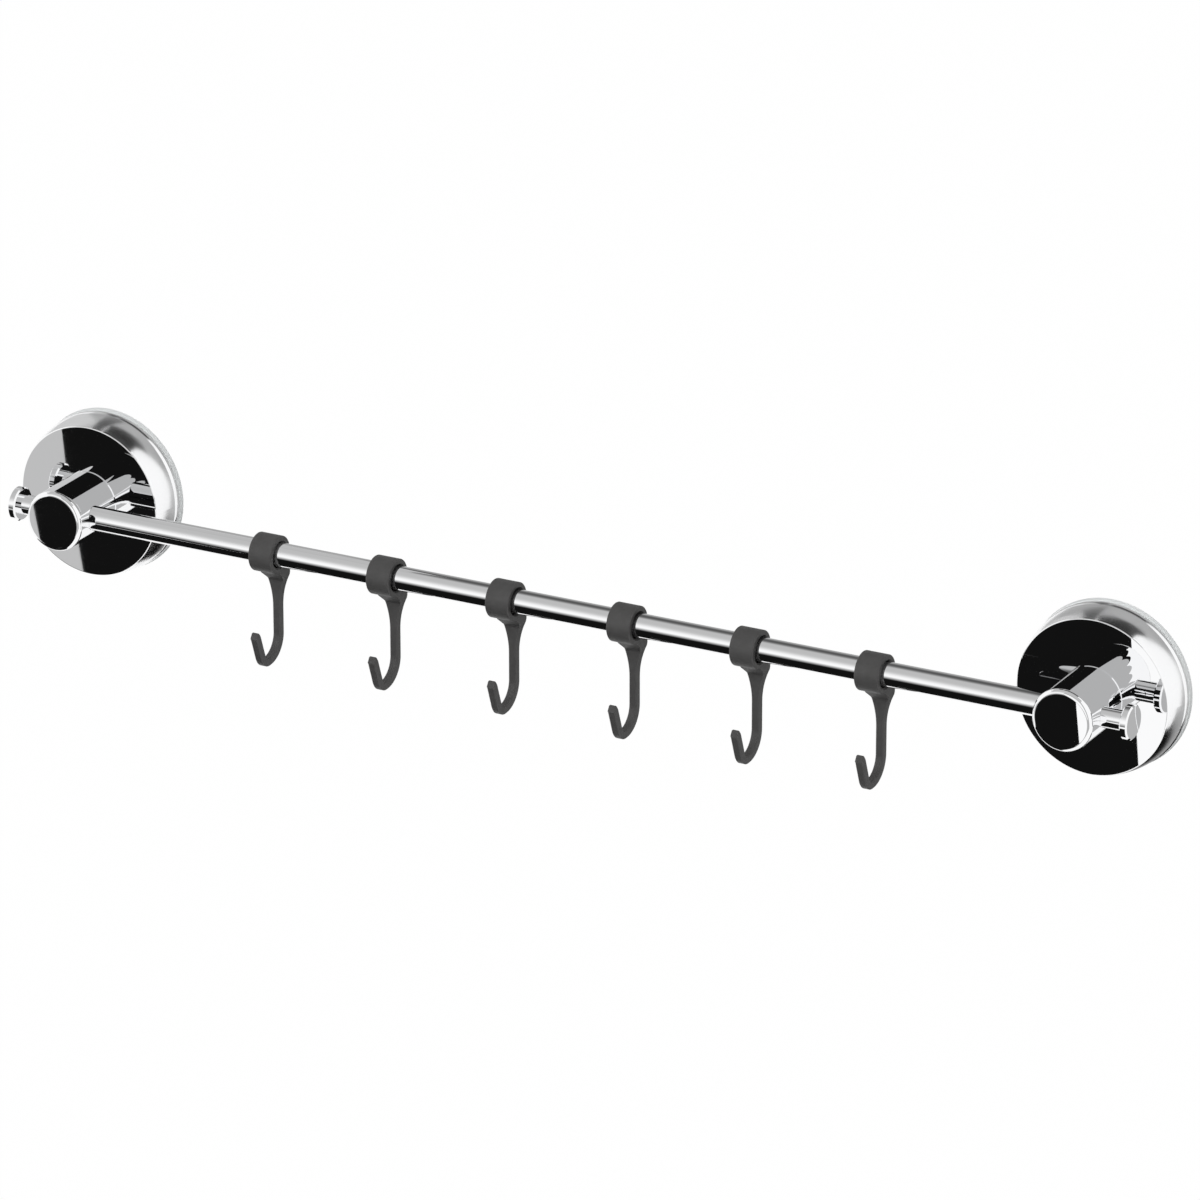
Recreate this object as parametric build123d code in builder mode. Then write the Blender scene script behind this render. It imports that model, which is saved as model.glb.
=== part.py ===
from build123d import *
from math import cos, radians, sin
import os

os.makedirs("parts", exist_ok=True)

# Suction cup towel rail with sliding hooks, in millimetres.
# X runs along the rail, -Y points out from the wall, Z is up.
# The wall is the plane Y = 0 and the origin is midway between the two cups.
# A depth is a distance out from the wall, so it lies at Y = -depth.

# Rail
cup_spacing = 540.0
knob_overhang = 30.0
bar_diameter = 12.0
bar_wall = 1.0
bar_over_face = 18.7
bar_seat_depth = 8.8

# Suction cup
cup_diameter = 83.0
lip_thickness = 3.0
lip_bevel = 0.6
sealing_width = 8.5
cavity_depth = 2.2
boss_diameter = 27.0
boss_height = 8.0
boss_bevel = 0.6
cup_slope_rise = 2.4
flange_diameter = 20.0
flange_thickness = 1.6
stem_bevel = 0.4

# Cover, which is the nut that draws the cup up
cover_height = 17.7
cover_rim_inset = 0.6
cover_draft = 2.7
cover_bulge = 0.55
cover_wall = 1.8
face_thickness = 2.6
face_edge_radius = 0.5
bead_height = 3.5
bead_bulge = 0.4
groove_depth = 0.4
hub_wall = 3.0
rib_thickness = 1.6
rib_height = 6.5
rib_count = 6

# Post
post_diameter = 30.5
post_length = 33.0
post_nose_radius = 2.2
post_foot_bevel = 0.5
spigot_diameter = 10.0

# Fasteners
screw_diameter = 5.0
screw_floor = 1.3
screw_runout = 1.0
screw_head_diameter = 8.6
screw_head_height = 2.4
recess_length = 5.2
recess_width = 1.1
recess_depth = 1.4
recess_taper = 15.0
thread_bevel = 0.6
washer_overlap = 1.6
washer_thickness = 1.0
grub_diameter = 4.0
grub_recess = 2.2
grub_socket = 2.0
grub_socket_depth = 2.4

# End knobs and the threaded plugs that they screw into
knob_diameter = 16.8
knob_thickness = 4.0
knob_bevel = 0.7
neck_diameter = 9.8
knob_thread_diameter = 6.0
knob_thread_length = 10.0
plug_length = 14.0

# Hooks
hook_count = 6
hook_pitch = 65.0
hook_group_shift = 5.6
ring_width = 12.6
ring_wall = 3.1
ring_edge_radius = 0.7
bore_lead_in = 0.8
neck_inset = 0.5
neck_back_lean = 11.0
shank_width = 4.1
shank_thickness = 3.9
shank_bevel = 0.55
shank_behind_ring = 0.3
hook_drop = 57.0
flare_length = 20.0
flare_radius = 38.0
flare_turn = 28.0
gusset_drop = 6.0
gusset_fillet = 2.0
heel_radius = 11.5
toe_radius = 6.3
toe_lean = 20.0
toe_length = 11.5
tip_radius = 3.5
tip_turn = 38.0
tip_rounding = 0.5

# Clearances
running_fit = 0.05
thread_fit = 0.05
bore_fit = 0.05
soft_gap = 0.3
face_gap = 0.05
assembly_gap = 0.4
bar_end_gap = 0.2
hook_looseness = 0.4
hook_rest_gap = 0.1

# Depths out from the wall, built up from the lip
rim_depth = lip_thickness + soft_gap
face_depth = rim_depth + cover_height
face_back_depth = face_depth - face_thickness
post_foot_depth = face_depth + face_gap
bar_depth = face_depth + bar_over_face
washer_top_depth = face_back_depth - face_gap
washer_bottom_depth = washer_top_depth - washer_thickness
screw_head_depth = washer_bottom_depth - screw_head_height
stem_top_depth = screw_head_depth - assembly_gap
tapped_end_depth = bar_depth - bar_diameter / 2 - bore_fit - screw_floor
screw_end_depth = tapped_end_depth - screw_runout
hub_bottom_depth = boss_height + assembly_gap
flange_bottom_depth = (boss_height + cavity_depth - flange_thickness) / 2

# Radii that follow from each other along the cup's axis
cup_radius = cup_diameter / 2
rim_radius = cup_radius - cover_rim_inset
face_radius = rim_radius - cover_draft
post_radius = post_diameter / 2
spigot_radius = spigot_diameter / 2
cover_hole_radius = spigot_radius + running_fit
washer_radius = spigot_radius + washer_overlap
stem_radius = washer_radius + assembly_gap
hub_bore_radius = stem_radius + running_fit
hub_radius = hub_bore_radius + hub_wall
stem_bore_radius = screw_head_diameter / 2 + assembly_gap
screw_radius = screw_diameter / 2
boss_radius = boss_diameter / 2

# The bar and what is in line with it
bar_radius = bar_diameter / 2
neck_radius = neck_diameter / 2
bar_end = cup_spacing / 2 + bar_seat_depth
post_bore_radius = bar_radius + bore_fit
neck_hole_radius = neck_radius + bore_fit
knob_inner_face = cup_spacing / 2 + knob_overhang - knob_thickness
plug_radius = bar_radius - bar_wall
knob_thread_radius = knob_thread_diameter / 2
grub_top = -bar_radius - face_gap
grub_length = post_radius + grub_top - grub_recess
tapped_radius = knob_thread_radius + thread_fit


def wall_section(x):
    """Plane through a cup's axis: local x is the radius and local y the depth."""
    return Plane(origin=(x, 0, 0), x_dir=(1, 0, 0), z_dir=(0, 0, -1))


def cup_axis(x):
    return Axis((x, 0, 0), (0, -1, 0))


def across_wall(x, depth):
    """Plane parallel to the wall at a depth, on a cup's axis, facing out."""
    return Plane(origin=(x, -depth, 0), x_dir=(1, 0, 0), z_dir=(0, -1, 0))


def across_bar(x):
    """Plane square to the bar at a place along it."""
    return Plane(origin=(x, -bar_depth, 0), x_dir=(0, 1, 0), z_dir=(1, 0, 0))


def build_suction_cup(x, name):
    """Soft cup: flat sealing ring, shallow cavity, bevelled lip and a boss round the stem."""
    sealing_inner = cup_radius - sealing_width
    slope_top = lip_thickness + cup_slope_rise
    with BuildPart() as cup:
        with BuildSketch(wall_section(x)):
            with BuildLine():
                Polyline(
                    (0, cavity_depth),
                    (0, boss_height),
                    (boss_radius, boss_height),
                    (boss_radius, slope_top),
                    (rim_radius - cover_wall, lip_thickness),
                    (cup_radius - lip_bevel, lip_thickness),
                    (cup_radius, lip_thickness / 4),
                    (cup_radius, 0),
                    (sealing_inner, 0),
                )
                SagittaArc((sealing_inner, 0), (stem_radius, cavity_depth), -cavity_depth / 4)
                Line((stem_radius, cavity_depth), (0, cavity_depth))
            make_face()
        revolve(axis=cup_axis(x))
        boss_edge = cup.edges().filter_by(GeomType.CIRCLE).sort_by(Axis.Y)[0]
        chamfer(boss_edge, boss_bevel)
        with BuildSketch(across_wall(x, flange_bottom_depth)):
            Circle(flange_diameter / 2)
        extrude(amount=flange_thickness, mode=Mode.SUBTRACT)
        with BuildSketch(across_wall(x, flange_bottom_depth)):
            Circle(stem_radius)
        extrude(amount=boss_height, mode=Mode.SUBTRACT)
    cup.part.label = f"suction_cup_{name}"
    export_step(cup.part, f"parts/suction_cup_{name}.step")


def build_stem(x, name):
    """Hard threaded stem, hollow for the post screw, on the flange moulded into the boss."""
    with BuildPart() as stem:
        with BuildSketch(across_wall(x, flange_bottom_depth)):
            Circle(flange_diameter / 2)
        extrude(amount=flange_thickness)
        with BuildSketch(across_wall(x, flange_bottom_depth)):
            Circle(stem_radius)
        extrude(amount=stem_top_depth - flange_bottom_depth)
        chamfer(stem.edges().sort_by(Axis.Y)[0], stem_bevel)
        with BuildSketch(across_wall(x, flange_bottom_depth + flange_thickness)):
            Circle(stem_bore_radius)
        extrude(amount=stem_top_depth, mode=Mode.SUBTRACT)
    stem.part.label = f"threaded_stem_{name}"
    export_step(stem.part, f"parts/threaded_stem_{name}.step")


def build_cover(x, name):
    """Round cover: flat face, convex skirt with a beaded rim, threaded hub and ribs."""
    bead_depth = rim_depth + bead_height
    skirt_radius = rim_radius - groove_depth
    inner_rim = rim_radius - cover_wall
    inner_face = face_radius - cover_wall
    with BuildPart() as cover:
        with BuildSketch(wall_section(x)):
            with BuildLine():
                Line((cover_hole_radius, face_depth), (face_radius, face_depth))
                SagittaArc((face_radius, face_depth), (skirt_radius, bead_depth), cover_bulge)
                Line((skirt_radius, bead_depth), (skirt_radius - groove_depth / 2, bead_depth))
                SagittaArc(
                    (skirt_radius - groove_depth / 2, bead_depth),
                    (rim_radius - groove_depth / 2, rim_depth),
                    bead_bulge,
                )
                Polyline((rim_radius - groove_depth / 2, rim_depth), (inner_rim, rim_depth))
                SagittaArc((inner_rim, rim_depth), (inner_face, face_back_depth), -cover_bulge)
                Polyline(
                    (inner_face, face_back_depth),
                    (hub_radius, face_back_depth),
                    (hub_radius, hub_bottom_depth),
                    (hub_bore_radius, hub_bottom_depth),
                    (hub_bore_radius, face_back_depth),
                    (cover_hole_radius, face_back_depth),
                    (cover_hole_radius, face_depth),
                )
            make_face()
        revolve(axis=cup_axis(x))
        face_edges = cover.edges().filter_by(GeomType.CIRCLE).group_by(Axis.Y)[0]
        fillet(face_edges.sort_by(SortBy.RADIUS)[-1], face_edge_radius)
        with BuildSketch(across_wall(x, face_back_depth - rib_height)):
            with PolarLocations(0, rib_count):
                with Locations(((hub_radius + inner_face) / 2, 0)):
                    Rectangle(inner_face - hub_radius + cover_wall, rib_thickness)
        extrude(amount=rib_height + face_thickness / 2)
    cover.part.label = f"cover_{name}"
    export_step(cover.part, f"parts/cover_{name}.step")


def build_post(x, side, name):
    """Round post with a rolled nose: stepped cross bore for the bar, spigot and tapped holes."""
    grub_hole = grub_diameter / 2 + thread_fit
    with BuildPart() as post:
        with BuildSketch(across_wall(x, post_foot_depth)):
            Circle(post_radius)
        extrude(amount=post_length)
        fillet(post.edges().sort_by(Axis.Y)[0], post_nose_radius)
        chamfer(post.edges().filter_by(GeomType.CIRCLE).sort_by(Axis.Y)[-1], post_foot_bevel)
        with BuildSketch(across_wall(x, washer_top_depth)):
            Circle(spigot_radius)
        extrude(amount=post_foot_depth - washer_top_depth)
        with BuildSketch(across_wall(x, washer_top_depth)):
            Circle(screw_radius + thread_fit)
        extrude(amount=tapped_end_depth - washer_top_depth, mode=Mode.SUBTRACT)
        with BuildSketch(across_bar(side * (bar_end + bar_end_gap))):
            Circle(post_bore_radius)
        extrude(amount=-side * post_diameter, mode=Mode.SUBTRACT)
        with BuildSketch(across_bar(x)):
            Circle(neck_hole_radius)
        extrude(amount=side * post_diameter, mode=Mode.SUBTRACT)
        with BuildSketch(Plane.XY.offset(-post_diameter)):
            with Locations((x, -bar_depth)):
                Circle(grub_hole)
        extrude(amount=post_diameter, mode=Mode.SUBTRACT)
    post.part.label = f"post_{name}"
    export_step(post.part, f"parts/post_{name}.step")


def build_post_screw(x, name):
    """Pan head screw with a cross recess, run up through the washer into the post."""
    with BuildPart() as screw:
        with BuildSketch(across_wall(x, screw_head_depth)):
            Circle(screw_head_diameter / 2)
        extrude(amount=screw_head_height)
        fillet(screw.edges().sort_by(Axis.Y)[-1], screw_head_height / 3)
        with BuildSketch(across_wall(x, washer_bottom_depth)):
            Circle(screw_radius)
        extrude(amount=screw_end_depth - washer_bottom_depth)
        chamfer(screw.edges().sort_by(Axis.Y)[0], thread_bevel)
        with BuildSketch(across_wall(x, screw_head_depth)):
            Rectangle(recess_length, recess_width)
            Rectangle(recess_width, recess_length)
        extrude(amount=recess_depth, taper=recess_taper, mode=Mode.SUBTRACT)
    screw.part.label = f"post_screw_{name}"
    export_step(screw.part, f"parts/post_screw_{name}.step")


def build_washer(x, name):
    with BuildPart() as washer:
        with BuildSketch(across_wall(x, washer_bottom_depth)):
            Circle(washer_radius)
            Circle(screw_radius + thread_fit, mode=Mode.SUBTRACT)
        extrude(amount=washer_thickness)
    washer.part.label = f"post_washer_{name}"
    export_step(washer.part, f"parts/post_washer_{name}.step")


def build_grub_screw(x, name):
    """Set screw under the post, run up until its point bears on the bar."""
    with BuildPart() as grub:
        with BuildSketch(Plane.XY.offset(grub_top - grub_length)):
            with Locations((x, -bar_depth)):
                Circle(grub_diameter / 2)
        extrude(amount=grub_length)
        chamfer(grub.edges().sort_by(Axis.Z)[-1], thread_bevel)
        with BuildSketch(Plane.XY.offset(grub_top - grub_length)):
            with Locations((x, -bar_depth)):
                RegularPolygon(grub_socket / 2, 6, major_radius=False)
        extrude(amount=grub_socket_depth, mode=Mode.SUBTRACT)
    grub.part.label = f"grub_screw_{name}"
    export_step(grub.part, f"parts/grub_screw_{name}.step")


def build_bar_plug(side, name):
    """Tapped plug pressed into the end of the bar."""
    with BuildPart() as plug:
        with BuildSketch(across_bar(side * bar_end)):
            Circle(plug_radius)
            Circle(tapped_radius, mode=Mode.SUBTRACT)
        extrude(amount=-side * plug_length)
    plug.part.label = f"bar_plug_{name}"
    export_step(plug.part, f"parts/bar_plug_{name}.step")


def build_end_knob(side, name):
    """Round end knob turned in one piece with its neck and threaded shank."""
    with BuildPart() as knob:
        with BuildSketch(across_bar(side * knob_inner_face)):
            Circle(knob_diameter / 2)
        extrude(amount=side * knob_thickness)
        chamfer(knob.edges().filter_by(GeomType.CIRCLE), knob_bevel)
        with BuildSketch(across_bar(side * knob_inner_face)):
            Circle(neck_radius)
        extrude(amount=side * (bar_end - knob_inner_face))
        with BuildSketch(across_bar(side * bar_end)):
            Circle(knob_thread_radius)
        extrude(amount=-side * knob_thread_length)
        tip = knob.edges().filter_by(GeomType.CIRCLE).sort_by(Axis.X)[0 if side > 0 else -1]
        chamfer(tip, thread_bevel)
    knob.part.label = f"end_knob_{name}"
    export_step(knob.part, f"parts/end_knob_{name}.step")


def build_bar():
    with BuildPart() as bar:
        with BuildSketch(across_bar(-bar_end)):
            Circle(bar_radius)
            Circle(plug_radius, mode=Mode.SUBTRACT)
        extrude(amount=2 * bar_end)
    bar.part.label = "bar"
    export_step(bar.part, "parts/bar.step")


def build_hook(x, name):
    """Moulded hook: ring with a bevelled bore, flared neck, and a bevelled J with a turned tip."""
    ring_bore = bar_radius + hook_looseness
    ring_radius = ring_bore + ring_wall
    ring_height = hook_rest_gap - hook_looseness
    ring_bottom = ring_height - ring_radius
    back_lean = radians(neck_back_lean)
    half_thick = shank_thickness / 2
    half_width = shank_width / 2
    back_y = ring_radius + shank_behind_ring
    shank_y = back_y - half_thick
    front_y = shank_y - half_thick
    flare_foot = ring_bottom - flare_length
    heel_height = half_thick + heel_radius - hook_drop
    side_plane = across_bar(x)
    front_plane = across_wall(x, bar_depth)

    with BuildPart() as neck:
        # Seen from the side: a sloping gusset in front, and a back that leans onto the ring
        with BuildSketch(side_plane):
            with BuildLine():
                FilletPolyline(
                    (front_y, flare_foot),
                    (front_y, ring_bottom - gusset_drop),
                    (front_y - gusset_drop, ring_bottom),
                    (0, ring_height),
                    radius=(gusset_fillet, gusset_fillet / 4),
                )
                Polyline(
                    (0, ring_height),
                    (ring_radius * cos(back_lean), ring_height + ring_radius * sin(back_lean)),
                    (back_y, ring_bottom),
                    (back_y, flare_foot),
                    (front_y, flare_foot),
                )
            make_face()
        extrude(amount=ring_width / 2 - neck_inset, both=True)

        # Seen from the front: two arcs that open from the shank to the ring's width
        with BuildSketch(front_plane):
            with BuildLine():
                foot = (half_width, flare_foot)
                flare = JernArc(foot, (0, 1), flare_radius, -flare_turn)
                flare_end = half_width + flare_radius * (1 - cos(radians(flare_turn)))
                Polyline(flare @ 1, (flare_end, ring_radius), (0, ring_radius), (0, flare_foot), foot)
            make_face()
            mirror(about=Plane.YZ)
        extrude(amount=2 * back_y, both=True, mode=Mode.INTERSECT)
        curved_edges = neck.edges().filter_by(GeomType.LINE, reverse=True)
        chamfer(curved_edges.filter_by_position(Axis.Z, flare_foot, ring_bottom), shank_bevel)

    with BuildPart() as hook:
        # Ring round the bar, then the neck joined to it
        with BuildSketch(side_plane):
            with Locations((0, ring_height)):
                Circle(ring_radius)
        extrude(amount=ring_width / 2, both=True)
        fillet(hook.edges().filter_by(GeomType.CIRCLE), ring_edge_radius)
        add(neck.part)
        with BuildSketch(side_plane):
            with Locations((0, ring_height)):
                Circle(ring_bore)
        extrude(amount=ring_width, both=True, mode=Mode.SUBTRACT)
        chamfer(hook.edges(Select.LAST).filter_by(GeomType.CIRCLE), bore_lead_in)

        # Shank and J: one bevelled bar section along straight runs and tangent arcs
        with BuildLine(side_plane):
            shank = Line((shank_y, flare_foot), (shank_y, heel_height))
            heel = JernArc(shank @ 1, shank % 1, heel_radius, -90)
            toe = JernArc(heel @ 1, heel % 1, toe_radius, toe_lean - 90)
            arm = Line(toe @ 1, toe @ 1 + toe_length * (toe % 1))
            JernArc(arm @ 1, arm % 1, tip_radius, tip_turn)
        with BuildSketch(Plane(origin=shank @ 0, x_dir=(1, 0, 0), z_dir=shank % 0)) as section:
            Rectangle(shank_width, shank_thickness)
            chamfer(section.vertices(), shank_bevel)
        sweep()
        low_faces = hook.faces().filter_by(GeomType.PLANE).filter_by_position(Axis.Z, -hook_drop, flare_foot)
        fillet(low_faces.sort_by(Axis.Y)[0].edges(), tip_rounding)
    hook.part.label = f"hook_{name}"
    export_step(hook.part, f"parts/hook_{name}.step")


for side, name in ((-1, "left"), (1, "right")):
    cup_x = side * cup_spacing / 2
    build_suction_cup(cup_x, name)
    build_stem(cup_x, name)
    build_cover(cup_x, name)
    build_post(cup_x, side, name)
    build_post_screw(cup_x, name)
    build_washer(cup_x, name)
    build_grub_screw(cup_x, name)
    build_bar_plug(side, name)
    build_end_knob(side, name)

build_bar()

for number in range(1, hook_count + 1):
    places_from_middle = number - (hook_count + 1) / 2
    build_hook(hook_group_shift + places_from_middle * hook_pitch, number)
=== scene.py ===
from math import cos, pi, radians, sin

import bmesh
import bpy
from mathutils import Matrix, Vector


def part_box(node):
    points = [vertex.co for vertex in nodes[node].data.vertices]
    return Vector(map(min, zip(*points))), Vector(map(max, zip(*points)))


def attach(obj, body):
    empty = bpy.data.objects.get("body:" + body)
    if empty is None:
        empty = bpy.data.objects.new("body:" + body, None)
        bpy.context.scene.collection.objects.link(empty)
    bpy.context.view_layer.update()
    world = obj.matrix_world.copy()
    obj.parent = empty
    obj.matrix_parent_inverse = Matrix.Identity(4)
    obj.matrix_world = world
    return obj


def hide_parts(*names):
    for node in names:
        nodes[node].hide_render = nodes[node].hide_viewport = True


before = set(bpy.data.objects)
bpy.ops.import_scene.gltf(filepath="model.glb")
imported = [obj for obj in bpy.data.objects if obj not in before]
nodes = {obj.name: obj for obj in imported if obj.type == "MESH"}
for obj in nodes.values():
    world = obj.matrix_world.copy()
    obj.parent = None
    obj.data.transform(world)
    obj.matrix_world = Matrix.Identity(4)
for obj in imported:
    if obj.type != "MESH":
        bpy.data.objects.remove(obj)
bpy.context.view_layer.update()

# Camera, at the photograph's angle
azimuth = radians(28.3204)
elevation = radians(21.3507)
roll = radians(0.0216)
camera_distance = 3.82765
lens_mm = 240.967
target = Vector((0.001342, 0.001900, -0.009579))

# Room, in metres
floor_height = -2.20
floor_reach = 30.0
front_wall = -3.6
back_wall = 2.2
ceiling = 3.56
card_floor = floor_height + 0.002

# Shades
black = 0.006
floor_glow = 0.995
soft_world = 0.55

# Ends of the bar, in metres
left_post = -0.27
right_post = 0.27
# Where the painted reflection cards round the posts stand, in metres
painted_reflection_place = -0.200


def make_camera():
    back = Vector((sin(azimuth) * cos(elevation), -cos(azimuth) * cos(elevation), sin(elevation)))
    camera_data = bpy.data.cameras.new("camera")
    camera_data.sensor_width = 36.0
    camera_data.lens = lens_mm
    camera_data.clip_end = 100.0
    camera = bpy.data.objects.new("camera", camera_data)
    bpy.context.scene.collection.objects.link(camera)
    turn = back.to_track_quat("Z", "Y").to_matrix().to_4x4()
    camera.matrix_world = (
        Matrix.Translation(target + camera_distance * back) @ turn @ Matrix.Rotation(-roll, 4, "Z")
    )
    bpy.context.scene.camera = camera


# Materials


def new_material(name):
    material = bpy.data.materials.new(name)
    material.use_nodes = True
    tree = material.node_tree
    return material, tree, tree.nodes["Principled BSDF"]


def add_node(tree, kind, **values):
    node = tree.nodes.new(kind)
    for key, value in values.items():
        setattr(node, key, value)
    return node


def noise(tree, scale, detail=3.0, roughness=0.5, squeeze=(1, 1, 1)):
    """Noise laid on the object's own coordinates, in metres."""
    coordinates = add_node(tree, "ShaderNodeTexCoord")
    mapping = add_node(tree, "ShaderNodeMapping")
    mapping.inputs["Scale"].default_value = squeeze
    texture = add_node(tree, "ShaderNodeTexNoise")
    texture.inputs["Scale"].default_value = scale
    texture.inputs["Detail"].default_value = detail
    texture.inputs["Roughness"].default_value = roughness
    tree.links.new(coordinates.outputs["Object"], mapping.inputs["Vector"])
    tree.links.new(mapping.outputs["Vector"], texture.inputs["Vector"])
    return texture.outputs["Fac"]


def spread(tree, factor, low, high, start=0.3, stop=0.7):
    """Maps a noise from start..stop to low..high."""
    node = add_node(tree, "ShaderNodeMapRange")
    node.inputs["From Min"].default_value = start
    node.inputs["From Max"].default_value = stop
    node.inputs["To Min"].default_value = low
    node.inputs["To Max"].default_value = high
    tree.links.new(factor, node.inputs["Value"])
    return node.outputs["Result"]


def ramp(tree, factor, *stops):
    node = add_node(tree, "ShaderNodeValToRGB")
    elements = node.color_ramp.elements
    while len(elements) < len(stops):
        elements.new(0.5)
    for element, (place, colour) in zip(elements, stops):
        element.position = place
        element.color = (*colour, 1)
    tree.links.new(factor, node.inputs["Fac"])
    return node.outputs["Color"]


def bump(tree, shader, height, distance):
    node = add_node(tree, "ShaderNodeBump")
    node.inputs["Distance"].default_value = distance
    tree.links.new(height, node.inputs["Height"])
    tree.links.new(node.outputs["Normal"], shader.inputs["Normal"])


def along(tree, axis):
    """The object's own coordinate along one axis, in metres."""
    coordinates = add_node(tree, "ShaderNodeTexCoord")
    split = add_node(tree, "ShaderNodeSeparateXYZ")
    tree.links.new(coordinates.outputs["Object"], split.inputs[0])
    return split.outputs[axis]


def new_metal(name, tint):
    material, tree, shader = new_material(name)
    shader.inputs["Metallic"].default_value = 1.0
    shader.inputs["Base Color"].default_value = (*tint, 1)
    return material, tree, shader


def wiped(tree, low, high):
    """Haze left by wiping, in long faint patches."""
    return spread(tree, noise(tree, 90.0, 4.0, 0.6, (1.0, 1.0, 0.35)), low, high)


def chrome(name, tint, haze):
    """Bright plate: nearly a mirror, with a faint uneven haze."""
    material, tree, shader = new_metal(name, tint)
    tree.links.new(wiped(tree, haze / 3, haze), shader.inputs["Roughness"])
    return material


def cover_chrome(tint, haze, skirt_haze, skirt_start=-0.0208, skirt_stop=-0.0200):
    """Chrome on plastic: a clear mirror on the flat face, and softer on the skirt behind its edge."""
    material, tree, shader = new_metal("cover_chrome", tint)
    depth = spread(tree, along(tree, "Y"), haze, skirt_haze, skirt_start, skirt_stop)
    product = add_node(tree, "ShaderNodeMath", operation="MULTIPLY")
    tree.links.new(depth, product.inputs[0])
    tree.links.new(wiped(tree, 0.6, 1.0), product.inputs[1])
    tree.links.new(product.outputs[0], shader.inputs["Roughness"])
    return material


def hook_plastic():
    """Matt moulded plastic, dark grey, with a fine spark-eroded grain."""
    material, tree, shader = new_material("hook_plastic")
    darker = (0.042, 0.041, 0.0405)
    lighter = (0.051, 0.050, 0.0495)
    tone = ramp(tree, noise(tree, 260.0, 4.0), (0.3, darker), (0.7, lighter))
    tree.links.new(tone, shader.inputs["Base Color"])
    gloss = spread(tree, noise(tree, 700.0, 3.0), 0.42, 0.56)
    tree.links.new(gloss, shader.inputs["Roughness"])
    bump(tree, shader, noise(tree, 4200.0, 2.0), 0.00002)
    return material


def soft_plastic():
    """Soft clear cup: milky and smooth."""
    material, tree, shader = new_material("soft_cup")
    tone = ramp(tree, noise(tree, 60.0), (0.3, (0.80, 0.82, 0.82)), (0.7, (0.88, 0.90, 0.90)))
    tree.links.new(tone, shader.inputs["Base Color"])
    shader.inputs["Transmission Weight"].default_value = 0.35
    shader.inputs["IOR"].default_value = 1.5
    gloss = spread(tree, noise(tree, 140.0), 0.30, 0.42)
    tree.links.new(gloss, shader.inputs["Roughness"])
    return material


def plain_metal(name, low, high, gloss_low, gloss_high):
    """Plated or turned metal with fine marks."""
    material, tree, shader = new_material(name)
    shader.inputs["Metallic"].default_value = 1.0
    marks = noise(tree, 800.0, 4.0)
    tree.links.new(ramp(tree, marks, (0.3, low), (0.7, high)), shader.inputs["Base Color"])
    tree.links.new(spread(tree, marks, gloss_low, gloss_high), shader.inputs["Roughness"])
    return material


def stem_plastic():
    material, tree, shader = new_material("stem_plastic")
    tone = ramp(tree, noise(tree, 200.0), (0.3, (0.74, 0.74, 0.71)), (0.7, (0.80, 0.80, 0.77)))
    tree.links.new(tone, shader.inputs["Base Color"])
    tree.links.new(spread(tree, noise(tree, 500.0), 0.35, 0.5), shader.inputs["Roughness"])
    return material


def dress(material, *names):
    for name in names:
        for slot in nodes[name].material_slots:
            slot.material = material


def both(name):
    return f"{name}_left", f"{name}_right"


def paint_nodes():
    plate = (0.955, 0.958, 0.965)
    dress(chrome("bar_chrome", plate, 0.03), "bar")
    dress(chrome("post_chrome", plate, 0.012), *both("post"))
    dress(cover_chrome(plate, 0.010, 0.22), *both("cover"))
    dress(chrome("knob_chrome", plate, 0.02), *both("end_knob"))
    dress(hook_plastic(), *[f"hook_{number}" for number in range(1, 7)])
    dress(stem_plastic(), *both("threaded_stem"))
    steel = plain_metal("screw_steel", (0.5, 0.5, 0.51), (0.6, 0.6, 0.61), 0.25, 0.4)
    dress(steel, *both("post_screw"), *both("post_washer"), *both("grub_screw"))
    brass = plain_metal("plug_brass", (0.66, 0.50, 0.24), (0.74, 0.58, 0.30), 0.25, 0.4)
    dress(brass, *both("bar_plug"))


# Soft cups


def rounded(corners, steps=5):
    """Outline with its corners rounded; each corner is a radius, a depth and a rounding, in millimetres."""
    outline = []
    for index, (radius, depth, rounding) in enumerate(corners):
        corner = Vector((radius, depth))
        if not rounding:
            outline.append(corner)
            continue
        before = Vector(corners[index - 1][:2]) - corner
        after = Vector(corners[index + 1][:2]) - corner
        start = corner + before.normalized() * rounding
        stop = corner + after.normalized() * rounding
        for step in range(steps + 1):
            t = step / steps
            outline.append(start * (1 - t) ** 2 + corner * 2 * t * (1 - t) + stop * t ** 2)
    return outline


def lathe(name, outline, x, turns=160):
    """Turns an outline round a cup's axis."""
    shape = bmesh.new()
    rings = []
    for turn in range(turns):
        angle = 2 * pi * turn / turns
        ring = []
        for point in outline:
            radius, depth = point / 1000
            ring.append(shape.verts.new((x + radius * cos(angle), -depth, radius * sin(angle))))
        rings.append(ring)
    for turn in range(turns):
        ring, following = rings[turn], rings[(turn + 1) % turns]
        for near in range(len(outline) - 1):
            shape.faces.new((ring[near], ring[near + 1], following[near + 1], following[near]))
    bmesh.ops.remove_doubles(shape, verts=shape.verts, dist=0.000001)
    bmesh.ops.recalc_face_normals(shape, faces=shape.faces)
    for face in shape.faces:
        face.smooth = True
    mesh = bpy.data.meshes.new(name)
    shape.to_mesh(mesh)
    shape.free()
    thing = bpy.data.objects.new(name, mesh)
    bpy.context.scene.collection.objects.link(thing)
    return thing


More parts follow.
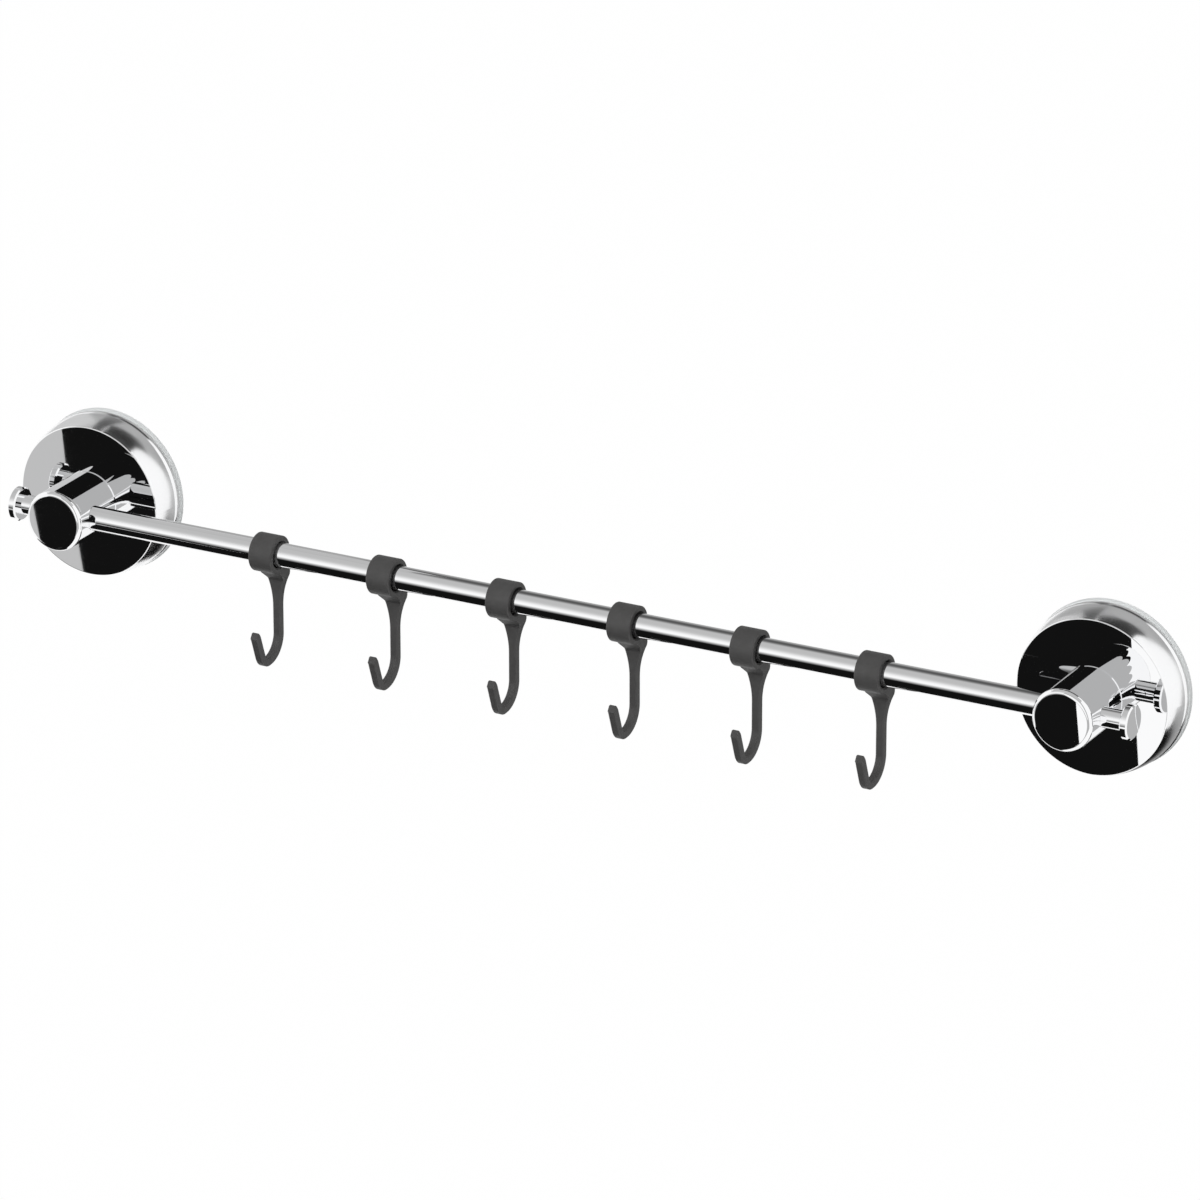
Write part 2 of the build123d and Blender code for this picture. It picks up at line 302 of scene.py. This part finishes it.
def make_soft_cups(material):
    """Each cup: a boss round the stem's flange, a sloping back, a soft lip and a hollow underside."""
    seat = [(0, 4.3, 0), (10.0, 4.3, 0), (10.0, 5.9, 0), (7.02, 5.9, 0)]
    boss = [(7.02, 7.9, 0.3), (13.4, 7.9, 0.7), (13.4, 5.4, 0.9)]
    lip = [(38.6, 2.95, 2.0), (41.0, 2.85, 0.7), (41.45, 0.6, 0.5), (41.2, 0.05, 0.3), (33.6, 0.05, 0.4)]
    hollow = [(33.0 - 26.0 * t, 2.2 * sin(pi / 2 * t) ** 0.9, 0) for t in (0.1, 0.25, 0.4, 0.6, 0.8)]
    middle = [(7.0, 2.25, 0), (0, 2.25, 0)]
    outline = rounded(seat + boss + lip + hollow + middle)
    for end in ("left", "right"):
        low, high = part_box(f"suction_cup_{end}")
        cup = lathe(f"soft_cup_{end}", outline, (low[0] + high[0]) / 2)
        cup.data.materials.append(material)
        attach(cup, "rail")
        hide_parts(f"suction_cup_{end}")


# Studio


def seen_white(tree):
    """One for what the camera, mirror and clear surfaces see, and nought for light on the object."""
    path = add_node(tree, "ShaderNodeLightPath")
    first = add_node(tree, "ShaderNodeMath", operation="ADD", use_clamp=True)
    second = add_node(tree, "ShaderNodeMath", operation="ADD", use_clamp=True)
    tree.links.new(path.outputs["Is Camera Ray"], first.inputs[0])
    tree.links.new(path.outputs["Is Glossy Ray"], first.inputs[1])
    tree.links.new(first.outputs[0], second.inputs[0])
    tree.links.new(path.outputs["Is Transmission Ray"], second.inputs[1])
    return second.outputs[0]


def make_world():
    world = bpy.data.worlds.new("studio")
    bpy.context.scene.world = world
    world.use_nodes = True
    tree = world.node_tree
    tree.nodes.clear()
    output = add_node(tree, "ShaderNodeOutputWorld")
    mix = add_node(tree, "ShaderNodeMixShader")
    soft = add_node(tree, "ShaderNodeBackground")
    soft.inputs["Strength"].default_value = soft_world
    soft.inputs["Color"].default_value = (1, 1, 1, 1)
    white = add_node(tree, "ShaderNodeBackground")
    white.inputs["Color"].default_value = (1, 1, 1, 1)
    white.inputs["Strength"].default_value = 1.0
    tree.links.new(seen_white(tree), mix.inputs["Fac"])
    tree.links.new(soft.outputs[0], mix.inputs[1])
    tree.links.new(white.outputs[0], mix.inputs[2])
    tree.links.new(mix.outputs[0], output.inputs["Surface"])


def flat_mesh(name, corners):
    mesh = bpy.data.meshes.new(name)
    mesh.from_pydata([Vector(c) for c in corners], [], [tuple(range(len(corners)))])
    thing = bpy.data.objects.new(name, mesh)
    bpy.context.scene.collection.objects.link(thing)
    return thing


def empty_material(name):
    material = bpy.data.materials.new(name)
    material.use_nodes = True
    material.node_tree.nodes.clear()
    return material, material.node_tree, add_node(material.node_tree, "ShaderNodeOutputMaterial")


def make_floor():
    """Pale floor: it keeps the shadow, and is seen as white."""
    reach = floor_reach
    floor = flat_mesh("floor", level(floor_height, -reach, reach, -reach, reach))
    material, tree, output = empty_material("floor")
    paint = add_node(tree, "ShaderNodeBsdfDiffuse")
    paint.inputs["Color"].default_value = (0.85, 0.85, 0.85, 1)
    glow = add_node(tree, "ShaderNodeEmission")
    share = add_node(tree, "ShaderNodeMath", operation="MULTIPLY")
    share.inputs[1].default_value = floor_glow
    mix = add_node(tree, "ShaderNodeMixShader")
    tree.links.new(seen_white(tree), share.inputs[0])
    tree.links.new(share.outputs[0], mix.inputs["Fac"])
    tree.links.new(paint.outputs[0], mix.inputs[1])
    tree.links.new(glow.outputs[0], mix.inputs[2])
    tree.links.new(mix.outputs[0], output.inputs["Surface"])
    floor.data.materials.append(material)


def shade_along(tree, axis, stops):
    """Grey that changes along one axis of the room; each stop is a place in metres and a shade."""
    first, last = stops[0][0], stops[-1][0]
    place = spread(tree, along(tree, axis), 0, 1, first, last)
    return ramp(tree, place, *[((at - first) / (last - first), (shade,) * 3) for at, shade in stops])


def make_card(name, corners, shade, axis=None, turns=0):
    """A studio card that only mirrors show, to what they have turned more than so many times.

    The shade is one number, or stops along an axis.
    """
    card = flat_mesh(name, corners)
    material, tree, output = empty_material(name)
    glow = add_node(tree, "ShaderNodeEmission")
    if axis:
        tree.links.new(shade_along(tree, axis, shade), glow.inputs["Color"])
    else:
        glow.inputs["Color"].default_value = (shade, shade, shade, 1)
    # With turns, the card glows only for rays turned more than that many times: a painted reflection, seen
    # nowhere but in reflections of reflections.
    if turns:
        path = add_node(tree, "ShaderNodeLightPath")
        turned = add_node(tree, "ShaderNodeMath", operation="GREATER_THAN")
        turned.inputs[1].default_value = turns + 0.5
        mix = add_node(tree, "ShaderNodeMixShader")
        tree.links.new(path.outputs["Ray Depth"], turned.inputs[0])
        tree.links.new(turned.outputs[0], mix.inputs["Fac"])
        tree.links.new(add_node(tree, "ShaderNodeBsdfTransparent").outputs[0], mix.inputs[1])
        tree.links.new(glow.outputs[0], mix.inputs[2])
        tree.links.new(mix.outputs[0], output.inputs["Surface"])
    else:
        tree.links.new(glow.outputs[0], output.inputs["Surface"])
    card.data.materials.append(material)
    card.visible_camera = False
    card.visible_diffuse = False
    card.visible_shadow = False
    card.visible_transmission = False
    card.visible_volume_scatter = False


def upright(y, left, right, bottom, top):
    return [(left, y, bottom), (right, y, bottom), (right, y, top), (left, y, top)]


def level(z, left, right, front, rear):
    return [(left, front, z), (right, front, z), (right, rear, z), (left, rear, z)]


def side_wall(x, front, rear, height):
    return [(x, front, -height), (x, rear, -height), (x, rear, height), (x, front, height)]


def wall_shape(y, *points):
    return [(x, y, z) for x, z in points]


def ceiling_shape(z, *points):
    return [(x, y, z) for x, y in points]


def make_front_cards():
    """In front: black low down, rising through grey to white, and grey again higher up."""
    left_edge = [
        (-2.60, -1.0), (-2.556, -1.516), (-2.5515, -1.563), (-2.5535, -1.569),
        (-2.5425, -1.624), (-2.540, -1.634), (-2.534, -1.670), (-2.458, card_floor),
    ]
    outline = wall_shape(front_wall, (-1.1, card_floor), (-1.1, 0.31), (-2.60, 0.31), *left_edge)
    stops = [(card_floor, black), (-1.38, black), (-0.954, 0.143), (-0.311, 0.5), (0.311, 0.93)]
    make_card("front_black", outline, stops, "Z")
    make_card("front_left", upright(front_wall - 0.02, -6.0, -2.2, card_floor, -0.95), 0.53)
    stops = [(0.95, 1.0), (1.66, 0.91), (2.49, 0.746), (ceiling, 0.61)]
    make_card("front_high", upright(front_wall, -4.5, -1.1, 0.95, ceiling), stops, "Z")
    make_card("front_right", upright(front_wall - 0.02, -1.1, 2.9, card_floor, ceiling), 0.46)
    make_card("front_middle", upright(front_wall + 0.02, -1.05, 1.3, -0.9, 1.3), 1.0)

    # A white card before the right end, for the white side of its flat faces
    outline = [
        (0.1752, -0.2730, -0.0722), (0.2352, -0.2730, -0.0722),
        (0.1570, -0.4616, -0.2331), (0.0970, -0.4616, -0.2331),
    ]
    make_card("near_white", outline, 1.0)


def make_rear_cards():
    """Overhead, behind and on the floor: grey, with dark places high at the back and low down."""
    stops = [(front_wall, 0.61), (-2.53, 0.54), (-1.7, 0.52), (-0.35, 0.52), (-0.04, 0.5), (0.27, 0.44)]
    make_card("ceiling_front", level(ceiling, -4.5, 3.0, front_wall, 0.27), stops, "Y")
    stops = [(0.27, 0.44), (0.91, 0.18), (1.62, 0.03), (back_wall, 0.02)]
    make_card("ceiling_back", level(ceiling, -1.1, 1.7, 0.27, back_wall), stops, "Y")
    make_card("ceiling_left", level(ceiling, -3.6, -1.1, 0.27, back_wall), 0.5)

    outline = wall_shape(back_wall, (-1.1, 2.75), (0.2, 2.6), (1.7, 2.3), (1.7, ceiling), (-1.1, ceiling))
    make_card("back_dark", outline, 0.05)
    make_card("back_high", upright(back_wall, -3.6, -1.1, 2.7, ceiling), 0.5)
    outline = wall_shape(
        back_wall + 0.01, (-2.0, -0.15), (-0.9, -0.15), (-0.6, -1.2), (1.9, -1.2), (1.9, 2.6), (-2.0, 3.0)
    )
    stops = [(-1.2, 0.45), (-0.2, 0.5), (0.3, 0.42), (1.0, 0.36), (1.5, 0.40), (2.6, 0.46)]
    make_card("back_grey", outline, stops, "Z")
    make_card("back_left", upright(back_wall, -3.4, -2.0, -0.15, 2.9), 0.6)
    stops = [(card_floor, 0.01), (-2.0, 0.05), (-1.8, 0.25), (-1.5, 0.36), (-1.2, 0.45)]
    make_card("back_low", upright(back_wall, -0.8, 2.3, card_floor, -1.2), stops, "Z")

    make_card("floor_front", level(card_floor, -2.9, -0.55, front_wall, 0.3), black)
    make_card("floor_back", level(card_floor, -0.5, 2.4, 1.1, back_wall), 0.004)


def make_line_cards():
    """A darker strip up the back and overhead, for the dark line along the bar's top."""
    outline = wall_shape(
        back_wall - 0.01,
        (-1.43, 1.04), (-0.61, 1.04), (-0.74, 1.57), (-0.94, 2.24), (-1.28, 3.2), (-1.37, ceiling),
        (-2.24, ceiling), (-2.09, 3.2), (-1.75, 2.24), (-1.55, 1.57),
    )
    make_card("line_back", outline, [(1.0, 0.37), (1.6, 0.20), (2.3, 0.11), (ceiling, 0.09)], "Z")
    outline = ceiling_shape(
        ceiling - 0.01,
        (-1.93, 0.27), (-1.13, 0.27), (-1.19, 0.91), (-1.30, 1.66), (-1.41, back_wall),
        (-2.22, back_wall), (-2.11, 1.66), (-1.99, 0.91),
    )
    make_card("line_top", outline, [(0.27, 0.42), (0.91, 0.22), (1.62, 0.11), (back_wall, 0.09)], "Y")


def make_painted_end_reflection():
    """Black cards round the bar's right end, seen only after two bounces: a painted dark reflection of the
    bar's end in the disc there.
    """
    left, right, front, rear, half = -0.10, 0.225, -0.090, 0.004, 0.055
    make_card("end_back", upright(rear, left, right, -half, half), black, turns=1)
    make_card("end_top", level(half, left, right, front, rear), black, turns=1)
    make_card("end_bottom", level(-half, left, right, front, rear), black, turns=1)
    make_card("end_front", upright(-0.095, left, 0.200, -half, 0.0), black, turns=1)


def make_painted_shade_box():
    """Black cards seen only by rays turned more than three times: painted shade in the reflections between
    the bar's ends, the posts and the discs.
    """
    front, rear, side, height = -0.9, 0.3, 0.7, 0.5
    painted_shade_sheets = {
        "deep_front": upright(front, -side, side, -height, height),
        "deep_back": upright(rear, -side, side, -height, height),
        "deep_top": level(height, -side, side, front, rear),
        "deep_bottom": level(-height, -side, side, front, rear),
        "deep_left": side_wall(-side, front, rear, height),
        "deep_right": side_wall(side, front, rear, height),
    }
    for name, corners in painted_shade_sheets.items():
        make_card(name, corners, black, turns=3)


def make_painted_reflection_card(name, x, y, shade, near, *rim):
    """A card bent round a post's axis, from a near reach out to a rim of turns in degrees and reaches; seen
    only after two bounces, it is a painted reflection.
    """
    def at(turn, reach):
        return x + reach * cos(radians(turn)), reach * sin(radians(turn))
    inner = [at(turn, near) for turn, far in rim]
    outer = [at(turn, far) for turn, far in rim]
    make_card(name, wall_shape(y, *inner, *reversed(outer)), shade, turns=1)


def make_painted_post_reflections():
    """Cards close round each post, seen only after two bounces: painted black, grey and white reflections
    of the post in the disc and of the disc in the post.
    """
    make_painted_reflection_card("painted_reflection_left_stripe", left_post, painted_reflection_place, black, 0.09,
              (69, 0.22), (105, 0.22), (143, 0.22))
    make_painted_reflection_card("painted_reflection_left_edge", left_post, painted_reflection_place - 0.001, 0.62, 0.09,
              (143, 0.24), (160, 0.24), (190, 0.24))
    make_painted_reflection_card("painted_reflection_left_dark", left_post, painted_reflection_place + 0.001, black, 0.08,
              (-90, 0.131), (-25, 0.133), (11, 0.1355), (30, 0.137), (50, 0.139), (56, 0.149),
              (58, 0.152), (100, 0.150), (143, 0.146), (180, 0.143), (210, 0.140))
    make_painted_reflection_card("painted_reflection_right_stripe", right_post, painted_reflection_place, black, 0.09,
              (110.5, 0.22), (145, 0.22), (179, 0.22))
    make_painted_reflection_card("painted_reflection_right_dark", right_post, painted_reflection_place + 0.001, black, 0.08,
              (56, 0.1160), (80, 0.1155), (100, 0.1145), (110, 0.126), (150, 0.123), (180, 0.120),
              (210, 0.117))
    make_painted_reflection_card("painted_reflection_right_white", right_post, painted_reflection_place + 0.002, 1.0, 0.07,
              (-90, 0.117), (-37, 0.1186), (6, 0.120), (30, 0.118), (54.6, 0.1162), (80, 0.1115),
              (99, 0.1074))


def make_lamps():
    for name, place, size, power in (
        ("key", (1.6, -2.2, 2.2), 1.6, 55.0),
        ("fill", (-2.2, -1.8, 1.4), 1.8, 30.0),
        ("rear", (0.4, 2.2, 1.8), 1.4, 20.0),
    ):
        lamp_data = bpy.data.lights.new(name, "AREA")
        lamp_data.shape = "SQUARE"
        lamp_data.size = size
        lamp_data.energy = power
        lamp = bpy.data.objects.new(name, lamp_data)
        bpy.context.scene.collection.objects.link(lamp)
        lamp.location = place
        lamp.rotation_euler = (-Vector(place)).to_track_quat("-Z", "Y").to_euler()
        lamp.visible_glossy = False


make_camera()
paint_nodes()
make_soft_cups(soft_plastic())
make_world()
make_floor()
make_front_cards()
make_rear_cards()
make_line_cards()
make_painted_end_reflection()
make_painted_shade_box()
make_painted_post_reflections()
make_lamps()
bpy.context.scene.view_settings.view_transform = "Standard"
